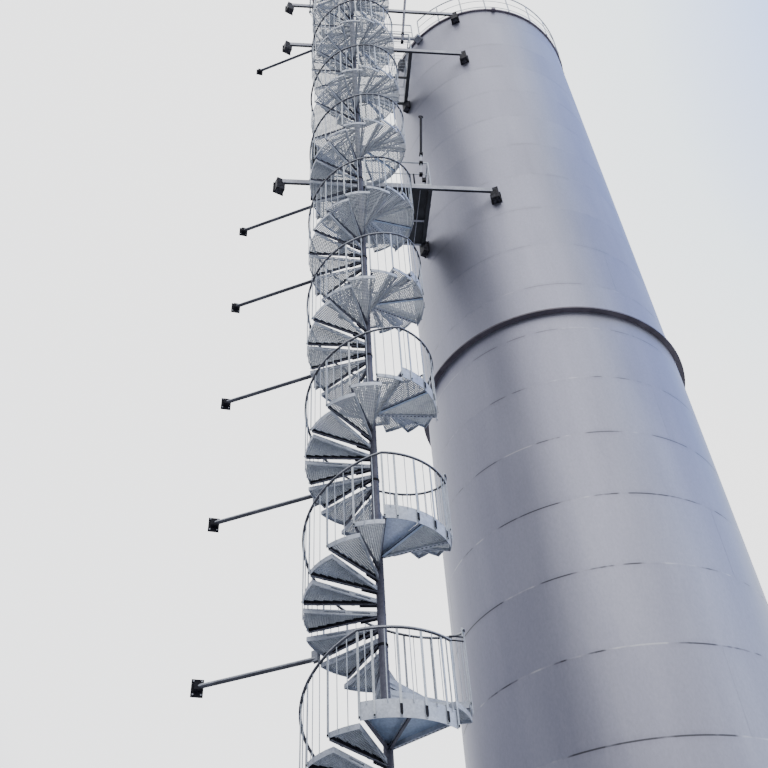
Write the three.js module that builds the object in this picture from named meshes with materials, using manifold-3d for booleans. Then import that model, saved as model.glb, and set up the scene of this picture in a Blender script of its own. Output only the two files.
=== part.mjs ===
// A tall vertical storage tank of stainless plate with its spiral access stair.
// Millimetres, +Z up. The origin is the centre of the tank's floor, on the ground.
// +X runs along the cross beams, away from the stair, and the stair stands at -X, -Y.
import * as THREE from "three";
import { mergeVertices } from "three/addons/utils/BufferGeometryUtils.js";
import Module from "manifold-3d";

const wasm = await Module();
wasm.setup();

// Tank
const TANK_RADIUS = 2964;
const SHELL_THICKNESS = 24;
const SHELL_JOINTS = [6500, 12500, 18500, 24500];
const SHELL_TOP = 31500;
const TANK_SIDES = 48;
const FLOOR_RADIUS = 3014;
const FLOOR_THICKNESS = 16;
const GIRDER_UNDERSIDE = 16000;
const GIRDER_REACH = 133;
const RIM_REACH = 54;
const RIM_DEPTH = 60;
const ROOF_RISE = 520;
const ROOF_THICKNESS = 12;
const ROOF_RAIL_HEIGHT = 1100;
const JOINT_GAP = 0.3;

// The neighbouring tank that the cross beams and struts reach stands at this distance along -X.
const NEIGHBOUR_X = -7820;
const NEIGHBOUR_FACE = 2970;

// Stair
const STAIR_X = -4775;
const STAIR_Y = -4451;
const STEP_ANGLE = 22.5;
const RISE = 190;
const TREAD_RADIUS = 1070;
const TREAD_DEPTH = 70;
const TREAD_OVERLAP = 4;
const POLE_RADIUS = 50.8;
const SLEEVE_RADIUS = 63.5;
const FIRST_TREAD_ANGLE = -90;
const TOE_BELOW = 165;
const TOE_ABOVE = 65;
const POST_RADIUS = 1081.5;
const POST_WIDTH = 22;
const RAIL_TUBE = 20;
const RAIL_HEIGHT = 1000;

// Rises from one landing to the next, and from the ground to each platform deck
const STOREY_RISES = 15;
const LOWER_DECK_RISES = 110;
const UPPER_DECK_RISES = 150;
const TOP_DECK_RISES = 165;

// Cross beams and platforms
const BEAM_Y = -2848;
const BEAM_WIDTH = 64;
const BEAM_LENGTH = 5340;
const BEAM_DEPTH = 150;
const SIDE_MEMBER_WIDTH = 100;
const BRACKET_ANGLE = 66.2;
const BACK_BRACKET_ANGLE = 21.4;
const BRACKET_WIDTH = 210;
const BRACKET_HEIGHT = 440;
const BRACKET_REACH = 3164;
const DECK_THICKNESS = 20;
const DECK_RIGHT = -2800;
const DECK_LEFT = NEIGHBOUR_X - DECK_RIGHT;
const DECK_BACK = -1060;
const DECK_FRONT = BEAM_Y - BEAM_WIDTH / 2 + 6;
const DECK_CORNER = -2300;
const GANGWAY_GAP = 24;
const GUARD_HEIGHT = 1100;

// Struts to the neighbouring tank: the height of each, and the step whose edge carries it
const STRUTS = [
  { level: 7273, rises: 39 },
  { level: 10208, rises: 53 },
  { level: 13024, rises: 67 },
  { level: 15819, rises: 81 },
  { level: 18518, rises: 95 },
  { level: 26323, rises: 136 },
];
const STRUT_TUBE = 38;
const STRUT_END = [-7320, -2980];

const stainless = { color: 0xa5a8b2, roughness: 0.38, metalness: 0.85 };
const galvanised = { color: 0x9aa4ab, roughness: 0.5, metalness: 0.6 };
const darkSteel = { color: 0x2a2c31, roughness: 0.6, metalness: 0.4 };

const tank = new THREE.Group();
const radians = THREE.MathUtils.degToRad;

function addMesh(name, geometry, finish) {
  const mesh = new THREE.Mesh(geometry, new THREE.MeshStandardMaterial(finish));
  mesh.name = name;
  tank.add(mesh);
}

// A geometry as a solid, and a solid as a geometry
function solid(geometry) {
  const bare = new THREE.BufferGeometry();
  const flat = geometry.index ? geometry.toNonIndexed() : geometry;
  bare.setAttribute("position", flat.getAttribute("position"));
  const merged = mergeVertices(bare, 1e-3);
  return new wasm.Manifold(
    new wasm.Mesh({
      numProp: 3,
      vertProperties: merged.getAttribute("position").array,
      triVerts: new Uint32Array(merged.index.array),
    }),
  );
}

function geometryOf(body) {
  const { vertProperties, triVerts } = body.getMesh();
  const geometry = new THREE.BufferGeometry();
  geometry.setAttribute("position", new THREE.BufferAttribute(vertProperties, 3));
  geometry.setIndex(new THREE.BufferAttribute(triVerts, 1));
  return geometry;
}

function fuse(solids) {
  return solids.reduce((whole, piece) => whole.add(piece));
}

// A body turned about the Z axis from a closed outline of [radius, z] points
function turned(outline, sides = TANK_SIDES) {
  const points = [...outline, outline[0]].map(([r, z]) => new THREE.Vector2(r, z));
  return new THREE.LatheGeometry(points, sides).rotateX(Math.PI / 2);
}

function ring(inner, outer, bottom, top, sides) {
  return turned(
    [
      [inner, bottom],
      [outer, bottom],
      [outer, top],
      [inner, top],
    ],
    sides,
  );
}

// An upright disc or round bar
function disc(radius, bottom, top, sides) {
  return new THREE.CylinderGeometry(radius, radius, top - bottom, sides)
    .rotateX(Math.PI / 2)
    .translate(0, 0, (top + bottom) / 2);
}

// A flat plate from an outline of [x, y] points
function plate(outline, bottom, top) {
  const shape = new THREE.Shape(outline.map(([x, y]) => new THREE.Vector2(x, y)));
  const depth = top - bottom;
  const settings = { depth, bevelEnabled: false };
  return new THREE.ExtrudeGeometry(shape, settings).translate(0, 0, bottom);
}

// Points on an arc about a centre, from one angle in degrees to another
function arc(x, y, radius, from, to, steps) {
  const points = [];
  for (let i = 0; i <= steps; i++) {
    const angle = radians(from + ((to - from) * i) / steps);
    points.push([x + radius * Math.cos(angle), y + radius * Math.sin(angle)]);
  }
  return points;
}

// A box that reaches from one radius to another at an angle about a centre
function radialBox(x, y, angle, inner, outer, width, bottom, top) {
  return new THREE.BoxGeometry(outer - inner, width, top - bottom)
    .translate((inner + outer) / 2, 0, (top + bottom) / 2)
    .rotateZ(radians(angle))
    .translate(x, y, 0);
}

// A round bar from one point to another
function bar(from, to, radius, sides = 8) {
  const start = new THREE.Vector3(...from);
  const line = new THREE.Vector3(...to).sub(start);
  const turn = new THREE.Quaternion().setFromUnitVectors(
    new THREE.Vector3(0, 1, 0),
    line.clone().normalize(),
  );
  return new THREE.CylinderGeometry(radius, radius, line.length(), sides)
    .applyQuaternion(turn)
    .translate(...start.add(line.multiplyScalar(0.5)).toArray());
}

// A polyline that a rail tube follows, with one step from each point to the next
class RailLine extends THREE.Curve {
  constructor(points) {
    super();
    this.points = points;
  }

  getPoint(t, target = new THREE.Vector3()) {
    const last = this.points.length - 1;
    const place = Math.min(Math.max(t, 0), 1) * last;
    const i = Math.min(Math.floor(place), last - 1);
    return target.lerpVectors(this.points[i], this.points[i + 1], place - i);
  }

  getUtoTmapping(u) {
    return u;
  }
}

function rail(points, radius, sides = 4) {
  const line = new RailLine(points.map((point) => new THREE.Vector3(...point)));
  const section = new THREE.Shape(
    arc(0, 0, radius, 0, 360, sides)
      .slice(0, sides)
      .map(([x, y]) => new THREE.Vector2(x, y)),
  );
  return new THREE.ExtrudeGeometry(section, {
    steps: points.length - 1,
    extrudePath: line,
  });
}

// Tank floor, shell, rings and roof
addMesh("floor_plate", disc(FLOOR_RADIUS, 0, FLOOR_THICKNESS, TANK_SIDES), stainless);

const shellLevels = [FLOOR_THICKNESS, ...SHELL_JOINTS, SHELL_TOP];
for (let i = 0; i + 1 < shellLevels.length; i++) {
  const wall = ring(
    TANK_RADIUS - SHELL_THICKNESS,
    TANK_RADIUS,
    shellLevels[i] + JOINT_GAP,
    shellLevels[i + 1],
  );
  addMesh(`shell_section_${i + 1}`, wall, stainless);
}

const girder = turned([
  [TANK_RADIUS + JOINT_GAP, GIRDER_UNDERSIDE],
  [TANK_RADIUS + GIRDER_REACH, GIRDER_UNDERSIDE],
  [TANK_RADIUS + GIRDER_REACH, GIRDER_UNDERSIDE + 60],
  [TANK_RADIUS + GIRDER_REACH - 14, GIRDER_UNDERSIDE + 60],
  [TANK_RADIUS + GIRDER_REACH - 14, GIRDER_UNDERSIDE + 14],
  [TANK_RADIUS + JOINT_GAP, GIRDER_UNDERSIDE + 14],
]);
addMesh("stiffening_ring", girder, stainless);

const rimRadius = TANK_RADIUS + RIM_REACH;
const rimAngle = ring(TANK_RADIUS + JOINT_GAP, rimRadius, SHELL_TOP - RIM_DEPTH, SHELL_TOP);
const lugs = [0, 180].map((side) =>
  solid(radialBox(0, 0, side - 89, rimRadius - 8, rimRadius + 60, 16, SHELL_TOP - 130, SHELL_TOP)),
);
addMesh("top_rim", geometryOf(fuse([solid(rimAngle), ...lugs])), stainless);

const roofBottom = SHELL_TOP + JOINT_GAP;
const roofEdge = new THREE.Vector2(rimRadius, roofBottom);
const roofOutline = [
  new THREE.Vector2(0, roofBottom + ROOF_RISE),
  roofEdge,
  new THREE.Vector2(rimRadius, roofBottom + ROOF_THICKNESS),
  new THREE.Vector2(0, roofBottom + ROOF_RISE + ROOF_THICKNESS),
];
const roof = new THREE.LatheGeometry(roofOutline, TANK_SIDES).rotateX(Math.PI / 2);
addMesh("roof_cone", roof, stainless);

// The guard rail round the roof stands on the rim's face, open where the top platform meets it
const rimFace = rimRadius * Math.cos(Math.PI / TANK_SIDES) + JOINT_GAP;
const roofRailAngles = [];
for (let a = -138.75; a < 192; a += 720 / TANK_SIDES) roofRailAngles.push(a);
const roofRailTop = roofRailAngles.map((a) => [
  (rimFace + 15) * Math.cos(radians(a)),
  (rimFace + 15) * Math.sin(radians(a)),
  SHELL_TOP + ROOF_RAIL_HEIGHT,
]);
const roofPosts = roofRailAngles.map((a) =>
  solid(
    radialBox(0, 0, a, rimFace, rimFace + 30, 30, SHELL_TOP - RIM_DEPTH, roofRailTop[0][2]),
  ),
);
const roofRail = fuse([solid(rail(roofRailTop, RAIL_TUBE)), ...roofPosts]);
addMesh("roof_guard_rail", geometryOf(roofRail), galvanised);

// A round neck with a flange or cover, standing out of the shell at an angle in degrees
const shellSolid = solid(disc(TANK_RADIUS + JOINT_GAP, 0, SHELL_TOP, TANK_SIDES));

function neck(angle, height, radius, flangeRadius, reach) {
  const outward = (r, inner, outer) =>
    solid(
      bar([inner, 0, 0], [outer, 0, 0], r, 24)
        .rotateZ(radians(angle))
        .translate(0, 0, height),
    );
  const face = TANK_RADIUS + reach;
  const tube = outward(radius, TANK_RADIUS - 100, face).subtract(shellSolid);
  const flange = outward(flangeRadius, face - 30, face);
  return geometryOf(tube.add(flange));
}
addMesh("manway", neck(-48, 900, 300, 370, 190), stainless);
addMesh("outlet_nozzle", neck(-12, 400, 84, 142, 200), stainless);

// Stair: a pole with the flights threaded on it
const topOfStair = TOP_DECK_RISES * RISE;
const pole = disc(POLE_RADIUS, 0, topOfStair + RAIL_HEIGHT, 8).translate(STAIR_X, STAIR_Y, 0);
addMesh("stair_column", pole, galvanised);

// A tread or landing between two angles in degrees, with its walking face at a height
function stairPlate(from, to, level, steps) {
  const outline = [
    ...arc(STAIR_X, STAIR_Y, POLE_RADIUS + 6, to, from, Math.ceil(steps / 2)),
    ...arc(STAIR_X, STAIR_Y, TREAD_RADIUS, from, to, steps),
  ];
  return solid(plate(outline, level - TREAD_DEPTH, level));
}

function toeBand(from, to, bottom, top, steps) {
  const outline = [
    ...arc(STAIR_X, STAIR_Y, TREAD_RADIUS - 8, to, from, steps),
    ...arc(STAIR_X, STAIR_Y, TREAD_RADIUS, from, to, steps),
  ];
  return solid(plate(outline, bottom, top));
}

// Every step of the stair: its number of rises above the ground, its front angle and its width.
// A landing takes three steps of the circle, and the step at the lower platform takes two.
const steps = [];
let angle = FIRST_TREAD_ANGLE;
for (let rises = 1; rises <= TOP_DECK_RISES; rises++) {
  const landing = rises % STOREY_RISES === 0;
  let places = 1;
  if (landing) places = 3;
  if (rises === LOWER_DECK_RISES) places = 2;
  steps.push({ rises, landing, angle, width: places * STEP_ANGLE });
  angle += places * STEP_ANGLE;
}

const basePlate = new THREE.BoxGeometry(400, 400, 20).translate(STAIR_X, STAIR_Y, 10);
const poleHole = disc(POLE_RADIUS + JOINT_GAP, -10, 30, 8).translate(STAIR_X, STAIR_Y, 0);
const base = solid(basePlate).subtract(solid(poleHole));

for (let first = 0; first < TOP_DECK_RISES; first += STOREY_RISES) {
  const sleeve = ring(
    POLE_RADIUS + JOINT_GAP,
    SLEEVE_RADIUS,
    first * RISE + (first ? JOINT_GAP : 0),
    (first + STOREY_RISES) * RISE,
    8,
  ).translate(STAIR_X, STAIR_Y, 0);
  const pieces = [solid(sleeve)];
  if (first === 0) pieces.push(base);
  for (const step of steps.slice(first, first + STOREY_RISES)) {
    const level = step.rises * RISE;
    const end = step.angle + step.width;
    const last = step.rises === TOP_DECK_RISES;
    const exit = last || step.rises === UPPER_DECK_RISES;
    const arcSteps = (2 * step.width) / STEP_ANGLE;
    pieces.push(stairPlate(step.angle, end + (last ? 0 : TREAD_OVERLAP), level, arcSteps));
    if (step.landing) {
      const bandTop = level + (exit ? 0 : TOE_ABOVE);
      pieces.push(toeBand(step.angle, end, level - TOE_BELOW, bandTop, arcSteps));
    }
  }
  const name = `stair_flight_${String(first / STOREY_RISES + 1).padStart(2, "0")}`;
  addMesh(name, geometryOf(fuse(pieces)), galvanised);
}

// Handrails: a tube over each step's edge on every second post, in lengths from one step to
// another. A length ends at its last step's far edge, and at the top where that step begins.
const spansOf = ({ rises, landing, width }) =>
  landing && rises !== TOP_DECK_RISES ? (4 * width) / (3 * STEP_ANGLE) : 1;

function railPoints(first, last) {
  const points = [];
  for (const step of steps.slice(first - 1, last)) {
    const spans = spansOf(step);
    const final = step.rises === last && last !== TOP_DECK_RISES;
    for (let i = 0; i < spans + (final ? 1 : 0); i++) {
      points.push({
        angle: step.angle + (step.width * i) / spans,
        foot: step.rises * RISE - TREAD_DEPTH + 8,
        top: step.rises * RISE + RAIL_HEIGHT,
      });
    }
  }
  return points;
}

function handrail(points) {
  const place = ({ angle }, z) => [
    STAIR_X + POST_RADIUS * Math.cos(radians(angle)),
    STAIR_Y + POST_RADIUS * Math.sin(radians(angle)),
    z,
  ];
  const tube = rail(
    points.map((point) => place(point, point.top)),
    RAIL_TUBE,
  );
  const pieces = [solid(tube)];
  const half = POST_WIDTH / 2;
  for (const point of points.filter((_, i) => i % 2 === 0 || i === points.length - 1)) {
    const inner = POST_RADIUS - half;
    const post = radialBox(
      STAIR_X,
      STAIR_Y,
      point.angle,
      inner,
      POST_RADIUS + half,
      POST_WIDTH,
      point.foot,
      point.top,
    );
    pieces.push(solid(post));
  }
  return geometryOf(fuse(pieces));
}

// First and last step of each length of handrail
const railLengths = [
  [1, 30],
  [32, 60],
  [62, 90],
  [92, 107],
  [110, 135],
  [137, 149],
  [151, 165],
];
railLengths.forEach(([first, last], i) => {
  addMesh(`handrail_${i + 1}`, handrail(railPoints(first, last)), galvanised);
});

// A pair of brackets, one on each tank, at an angle in degrees from the line of the tanks
function brackets(deckLevel, angle, reach, height = BRACKET_HEIGHT) {
  const low = deckLevel - height;
  const high = deckLevel - 4;
  const own = radialBox(0, 0, 180 + angle, TANK_RADIUS - 60, reach, BRACKET_WIDTH, low, high);
  const other = radialBox(
    NEIGHBOUR_X,
    0,
    -angle,
    NEIGHBOUR_FACE,
    reach,
    BRACKET_WIDTH,
    low,
    high,
  );
  return solid(own).subtract(shellSolid).add(solid(other));
}

// The beam across the front of a platform, with its brackets. Beams and brackets end inside the
// thickness of the deck plate.
function crossBeam(deckLevel) {
  const beam = new THREE.BoxGeometry(BEAM_LENGTH, BEAM_WIDTH, BEAM_DEPTH - 6);
  beam.translate(NEIGHBOUR_X / 2, BEAM_Y, deckLevel - BEAM_DEPTH / 2 - 3);
  return solid(beam).add(brackets(deckLevel, BRACKET_ANGLE, BRACKET_REACH));
}

// The two members that carry a deck back to the tanks, with their brackets
function sideMembers(deckLevel) {
  const length = DECK_BACK - BEAM_Y - 60;
  const members = [DECK_RIGHT - 60, DECK_LEFT + 60].map((x) =>
    solid(
      new THREE.BoxGeometry(SIDE_MEMBER_WIDTH, length, BEAM_DEPTH - 16).translate(
        x,
        BEAM_Y + length / 2,
        deckLevel - BEAM_DEPTH / 2,
      ),
    ),
  );
  return fuse([brackets(deckLevel, BACK_BRACKET_ANGLE, TANK_RADIUS + 160), ...members]);
}

// The edge of a gangway round the stair, between two angles in degrees
function gangwayArc(from, to) {
  return arc(STAIR_X, STAIR_Y, POST_RADIUS + POST_WIDTH / 2 + GANGWAY_GAP, to, from, 4);
}

// A seat that carries the gangway on the outer face of a step, at the middle of one facet. It
// reaches down to that step where the step is below the deck.
function gangwaySeat(deckLevel, facetMiddle, facetHalf, depth = DECK_THICKNESS) {
  const face = TREAD_RADIUS * Math.cos(radians(facetHalf)) + JOINT_GAP;
  const outer = POST_RADIUS + POST_WIDTH / 2 + GANGWAY_GAP + 40;
  const low = deckLevel - depth;
  return solid(radialBox(STAIR_X, STAIR_Y, facetMiddle, face, outer, 180, low, deckLevel));
}

// A guard rail's top tube and its posts, along a path of [x, y] points
function guardRail(path, deckLevel) {
  const tube = path.map(([x, y]) => [x, y, deckLevel + GUARD_HEIGHT]);
  const pieces = [solid(rail(tube, RAIL_TUBE))];
  for (const [x, y] of path) {
    pieces.push(solid(bar([x, y, deckLevel + JOINT_GAP], [x, y, deckLevel + GUARD_HEIGHT], 21, 4)));
  }
  return geometryOf(fuse(pieces));
}

// A platform is a deck between the tanks, a gangway to the stair's exit and a guard rail.
// Its outline goes round by the right, the back and the left to the gangway and the front.
const deckBehind = [
  [DECK_RIGHT, DECK_BACK],
  [DECK_LEFT, DECK_BACK],
  [DECK_LEFT, DECK_CORNER],
];
const railBehind = [
  [DECK_RIGHT - 40, DECK_FRONT + 40],
  [DECK_RIGHT - 40, (DECK_FRONT + DECK_BACK) / 2],
  [DECK_RIGHT - 40, DECK_BACK - 40],
  [(DECK_RIGHT + DECK_LEFT) / 2, DECK_BACK - 40],
  [DECK_LEFT + 40, DECK_BACK - 40],
  [DECK_LEFT + 40, (DECK_CORNER + DECK_BACK) / 2],
  [DECK_LEFT + 40, DECK_CORNER - 40],
];

function addPlatform(name, deckLevel, outline, seat, railPath) {
  const deck = solid(plate(outline, deckLevel - DECK_THICKNESS, deckLevel));
  const body = fuse([crossBeam(deckLevel), sideMembers(deckLevel), deck, seat]);
  addMesh(name, geometryOf(body), darkSteel);
  addMesh(`${name}_rail`, guardRail(railPath, deckLevel), galvanised);
}

const lowerLevel = LOWER_DECK_RISES * RISE;
const lowerExit = gangwayArc(115, 150);
const lowerOutline = [
  ...deckBehind,
  [lowerExit[0][0] - 80, DECK_CORNER],
  [lowerExit[0][0] - 80, lowerExit[0][1]],
  ...lowerExit,
  [lowerExit[4][0], DECK_FRONT],
  [DECK_RIGHT, DECK_FRONT],
];
const lowerRail = [
  [lowerExit[4][0] - 40, lowerExit[4][1] + 35],
  [lowerExit[4][0] - 40, DECK_FRONT + 40],
  [(lowerExit[4][0] + DECK_RIGHT) / 2, DECK_FRONT + 40],
  ...railBehind,
  [lowerExit[0][0] - 40, DECK_CORNER - 40],
  [lowerExit[0][0] - 40, -3150],
  [lowerExit[0][0] - 40, lowerExit[0][1] + 20],
];
const lowerSeat = gangwaySeat(lowerLevel, 141.625, 6.625, RISE + 60);
addPlatform("lower_platform", lowerLevel, lowerOutline, lowerSeat, lowerRail);

const upperLevel = UPPER_DECK_RISES * RISE;
const upperExit = gangwayArc(93, 150);
const upperOutline = [
  ...deckBehind,
  [upperExit[0][0] - 80, DECK_CORNER],
  [upperExit[0][0] - 80, upperExit[0][1]],
  ...upperExit,
  [upperExit[4][0], DECK_FRONT],
  [DECK_RIGHT, DECK_FRONT],
];
const upperRail = [
  [upperExit[4][0] - 40, upperExit[4][1] + 40],
  [upperExit[4][0] - 40, DECK_FRONT + 40],
  [(upperExit[4][0] + DECK_RIGHT) / 2, DECK_FRONT + 40],
  ...railBehind,
  [upperExit[0][0] - 40, DECK_CORNER - 40],
  [upperExit[0][0] - 40, -3150],
  [upperExit[0][0] - 40, upperExit[0][1] + 20],
];
const upperSeat = gangwaySeat(upperLevel, 95.625, 5.625);
addPlatform("upper_platform", upperLevel, upperOutline, upperSeat, upperRail);

// The top platform is a deck between the two rims, so that the roof can be walked onto, with a
// gangway to the stair over the cross beam.
const topLevel = TOP_DECK_RISES * RISE;
const topBack = -1000;
const topFront = -1950;
const rimClear = rimRadius + 70;
const frontTurn = THREE.MathUtils.radToDeg(Math.asin(-topFront / rimClear));
const backTurn = THREE.MathUtils.radToDeg(Math.asin(-topBack / rimClear));
const topExit = gangwayArc(112.5, 177);
const topOutline = [
  ...arc(0, 0, rimClear, -180 + frontTurn, -180 + backTurn, 4),
  ...arc(NEIGHBOUR_X, 0, rimClear, -backTurn, -frontTurn, 4),
  [-5600, -2150],
  [topExit[0][0] - 80, -2620],
  [topExit[0][0] - 80, topExit[0][1]],
  ...topExit,
  [topExit[4][0], topFront],
];
const topDeck = solid(plate(topOutline, topLevel - DECK_THICKNESS, topLevel));
const topSeat = gangwaySeat(topLevel, 140.625, 5.625);
const topMember = new THREE.BoxGeometry(2930, 80, 124).translate(
  NEIGHBOUR_X / 2,
  topFront - 20,
  topLevel - 70,
);
const topBody = fuse([
  crossBeam(topLevel),
  brackets(topLevel, BACK_BRACKET_ANGLE, TANK_RADIUS + 160),
  brackets(topLevel, 40, TANK_RADIUS + 220, 150),
  solid(topMember),
  topDeck,
  topSeat,
]);
addMesh("top_platform", geometryOf(topBody), darkSteel);

const topRight = topExit[4][0] - 40;
const topLeft = topExit[0][0] - 40;
const frontRail = [
  [topRight, topExit[4][1] + 40],
  [topRight, DECK_FRONT + 40],
  [topRight, topFront + 40],
  [(topRight - 2500) / 2, topFront + 40],
  [-2500, topFront + 40],
];
addMesh("top_platform_rail_right", guardRail(frontRail, topLevel), galvanised);

const backRail = [
  [-3020, topBack - 40],
  [NEIGHBOUR_X / 2, topBack - 40],
  [NEIGHBOUR_X + 3020, topBack - 40],
];
addMesh("top_platform_rail_back", guardRail(backRail, topLevel), galvanised);

// The left length also closes the end of the top landing, from the pole outwards
const endRail = [
  [STAIR_X - 160, STAIR_Y + 45],
  [STAIR_X - 1020, STAIR_Y + 45],
  [topLeft, topExit[0][1] + 40],
  [topLeft, (topExit[0][1] - 2640) / 2],
  [topLeft, -2640],
  [-5580, -2190],
];
addMesh("top_platform_rail_left", guardRail(endRail, topLevel), galvanised);

// Struts: a lug on the edge of a step, a tube, and a bracket at the neighbour's wall
const facetHalf = (STEP_ANGLE + TREAD_OVERLAP) / 4;
const lugAngle = 135 + facetHalf;
const lugFace = TREAD_RADIUS * Math.cos(radians(facetHalf));
const strutStart = arc(STAIR_X, STAIR_Y, lugFace + 70, lugAngle, lugAngle, 1)[0];
const towards = THREE.MathUtils.radToDeg(Math.atan2(STRUT_END[1], STRUT_END[0] - NEIGHBOUR_X));
const bracketEnd = Math.hypot(STRUT_END[0] - NEIGHBOUR_X, STRUT_END[1]) + 40;

STRUTS.forEach(({ level, rises }, i) => {
  const edge = rises * RISE;
  const low = Math.min(edge - 60, level - 45);
  const high = Math.max(edge - 10, level + 45);
  const lug = radialBox(
    STAIR_X,
    STAIR_Y,
    lugAngle,
    lugFace + JOINT_GAP,
    lugFace + 110,
    70,
    low,
    high,
  );
  const tube = bar([...strutStart, level], [...STRUT_END, level], STRUT_TUBE);
  const bracket = radialBox(
    NEIGHBOUR_X,
    0,
    towards,
    NEIGHBOUR_FACE,
    bracketEnd,
    180,
    level - 140,
    level + 140,
  );
  addMesh(`strut_${i + 1}`, geometryOf(fuse([solid(lug), solid(tube), solid(bracket)])), galvanised);
});

export default tank;
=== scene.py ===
import math
import random

import bmesh
import bpy
from mathutils import Matrix, Vector


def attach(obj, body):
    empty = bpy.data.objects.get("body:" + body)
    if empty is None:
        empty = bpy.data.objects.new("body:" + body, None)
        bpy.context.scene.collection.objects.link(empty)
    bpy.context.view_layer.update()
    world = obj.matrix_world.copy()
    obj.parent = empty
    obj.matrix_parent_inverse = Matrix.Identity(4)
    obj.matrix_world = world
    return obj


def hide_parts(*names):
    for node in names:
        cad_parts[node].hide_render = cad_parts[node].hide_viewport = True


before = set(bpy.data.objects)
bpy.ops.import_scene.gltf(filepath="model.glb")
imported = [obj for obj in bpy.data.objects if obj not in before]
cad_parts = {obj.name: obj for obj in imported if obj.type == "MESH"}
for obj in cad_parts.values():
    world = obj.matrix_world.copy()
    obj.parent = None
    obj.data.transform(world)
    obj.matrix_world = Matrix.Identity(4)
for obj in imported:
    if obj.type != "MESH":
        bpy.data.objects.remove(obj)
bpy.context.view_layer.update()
scene = bpy.context.scene

# The camera stands on the ground in front of the stair and looks steeply up past it at the
# tank's rim. Heading, pitch and roll are in degrees.
heading, pitch, roll = math.radians(6.8948), math.radians(44.0848), math.radians(-3.602)
eye_place = (-5.9032, -15.4813, 0.5957)
level_ahead = math.cos(pitch)
ahead = Vector((
    math.sin(heading) * level_ahead, math.cos(heading) * level_ahead, math.sin(pitch),
))
level_right = Vector((math.cos(heading), -math.sin(heading), 0))
level_up = level_right.cross(ahead)
cam_right = math.cos(roll) * level_right + math.sin(roll) * level_up
cam_up = math.cos(roll) * level_up - math.sin(roll) * level_right
camera = bpy.data.objects.new("camera", bpy.data.cameras.new("camera"))
scene.collection.objects.link(camera)
camera_turn = Matrix((cam_right, cam_up, -ahead)).transposed().to_4x4()
camera.matrix_world = Matrix.Translation(eye_place) @ camera_turn
camera.data.lens = 44.0503
camera.data.sensor_width = 36
camera.data.shift_y = 0.04
camera.data.clip_start = 0.05
camera.data.clip_end = 400
scene.camera = camera

# Studio floor: a wide plain pale disc at ground level. It is not part of the object, and nothing
# is fixed to it.
floor_bm = bmesh.new()
bmesh.ops.create_circle(floor_bm, cap_ends=True, segments=64, radius=160)
floor_mesh = bpy.data.meshes.new("studio_floor")
floor_bm.to_mesh(floor_mesh)
floor_bm.free()
studio_floor = bpy.data.objects.new("studio_floor", floor_mesh)
scene.collection.objects.link(studio_floor)
floor_paint = bpy.data.materials.new("studio_floor_paint")
floor_paint.use_nodes = True
floor_shader = floor_paint.node_tree.nodes["Principled BSDF"]
floor_shader.inputs["Base Color"].default_value = (0.40, 0.405, 0.42, 1)
floor_shader.inputs["Roughness"].default_value = 0.9
floor_mesh.materials.append(floor_paint)


# Studio light: a bright soft surround that is dim on the left and blue high on the right, with
# a broad key light high in front and a cool fill on the right.
def node(tree, kind, **values):
    """A new node with its sockets and settings filled in by name."""
    made = tree.nodes.new(kind)
    for key, value in values.items():
        if key in made.inputs:
            made.inputs[key].default_value = value
        else:
            setattr(made, key, value)
    return made


def maths(tree, kind, *values):
    """A sum of numbers and of other nodes' outputs."""
    made = node(tree, "ShaderNodeMath", operation=kind)
    for socket, value in zip(made.inputs, values):
        if isinstance(value, (int, float)):
            socket.default_value = value
        else:
            tree.links.new(value, socket)
    return made.outputs[0]


def spread(tree, source, low, high, to_low=0.0, to_high=1.0):
    """The range from low to high, clamped and spread over another range."""
    made = node(tree, "ShaderNodeMapRange")
    ends = {"From Min": low, "From Max": high, "To Min": to_low, "To Max": to_high}
    for key, value in ends.items():
        made.inputs[key].default_value = value
    tree.links.new(source, made.inputs["Value"])
    return made.outputs[0]


def mixed(tree, kind, factor, first, second):
    made = node(tree, "ShaderNodeMix", data_type="RGBA", blend_type=kind)
    tree.links.new(first, made.inputs[6])
    tree.links.new(second, made.inputs[7])
    if isinstance(factor, float):
        made.inputs[0].default_value = factor
    else:
        tree.links.new(factor, made.inputs[0])
    return made.outputs[2]


world = bpy.data.worlds.new("studio_surround")
scene.world = world
world.use_nodes = True
surround = world.node_tree
direction = node(surround, "ShaderNodeSeparateXYZ")
surround_place = node(surround, "ShaderNodeTexCoord").outputs["Generated"]
surround.links.new(surround_place, direction.inputs[0])
right, back, up = (direction.outputs[axis] for axis in "XYZ")
tilted = maths(surround, "MULTIPLY_ADD", up, 0.30, spread(surround, right, -1.0, 1.0, -0.15, 0.85))
# On the blue side the blue is kept to the upper part
above = maths(surround, "SUBTRACT", up, 0.65)
blue_part = spread(surround, right, 0.0, 1.0, 0.0, 0.5)
sky_ramp = node(surround, "ShaderNodeValToRGB")
surround.links.new(maths(surround, "MULTIPLY_ADD", blue_part, above, tilted), sky_ramp.inputs[0])
sky_tones = sky_ramp.color_ramp.elements
sky_tones[0].position, sky_tones[1].position = 0.12, 0.94
sky_tones[0].color = (0.24, 0.25, 0.29, 1)
sky_tones[1].color = (0.30, 0.39, 0.84, 1)
sky_tones.new(0.345).color = (0.97, 0.98, 1.0, 1)
sky_tones.new(0.74).color = (1.0, 1.0, 1.0, 1)
sky_tones.new(0.805).color = (0.84, 0.93, 1.0, 1)
sky_tones.new(0.87).color = (0.37, 0.53, 1.0, 1)
# In front of the tank the surround is dimmer towards the ground
in_front = spread(surround, back, 0.15, -0.35)
dimmed = spread(surround, up, 0.0, 0.75, 0.30, 1.0)
backdrop = surround.nodes["Background"].inputs
surround_tone = mixed(surround, "MULTIPLY", in_front, sky_ramp.outputs[0], dimmed)
surround.links.new(surround_tone, backdrop["Color"])
backdrop["Strength"].default_value = 2.7


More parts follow.
